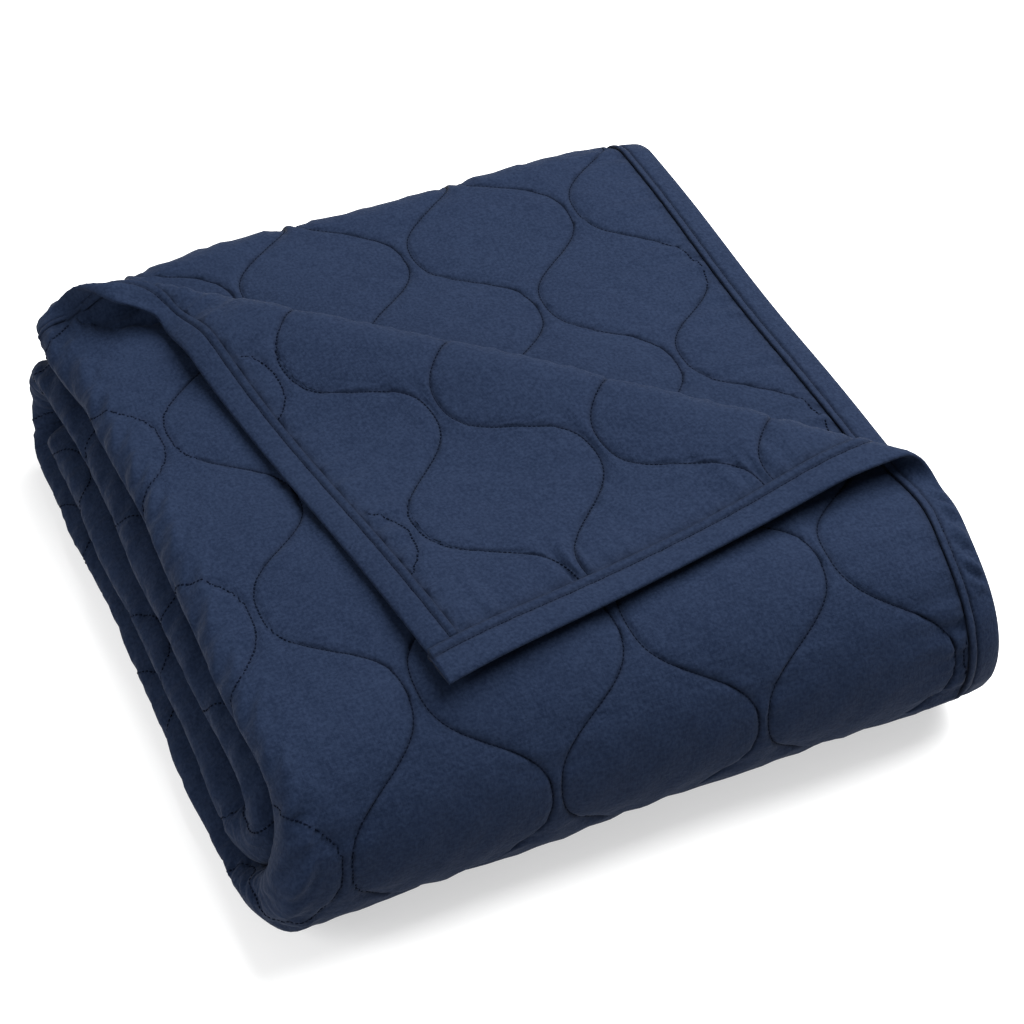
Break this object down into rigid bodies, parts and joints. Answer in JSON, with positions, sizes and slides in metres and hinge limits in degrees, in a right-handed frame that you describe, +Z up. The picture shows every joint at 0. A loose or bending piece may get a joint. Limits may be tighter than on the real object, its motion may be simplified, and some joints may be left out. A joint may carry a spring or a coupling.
{
  "type": "quilted bedspread",
  "caption": "Folded quilted bedspread in navy microfibre, rolled in layers with a rounded front, bound edges and one corner turned back.",
  "frame": {"origin": "middle of the underside's bounding box, on the surface it rests on", "axes": "+Z up, the rounded front faces -Y, the folded edges are on -X and the bound edges on +X"},
  "size_m": [0.5705, 0.6285, 0.1946],
  "materials": {
    "quilted_cloth": "matte brushed microfibre, quilted",
    "binding": "matte brushed microfibre, folded and topstitched"
  },
  "bodies": {
    "root": {"quilted_cloth": "quilted_cloth", "side_binding_outer": "binding", "side_binding_second": "binding", "end_binding": "binding"}
  },
  "joints": []
}
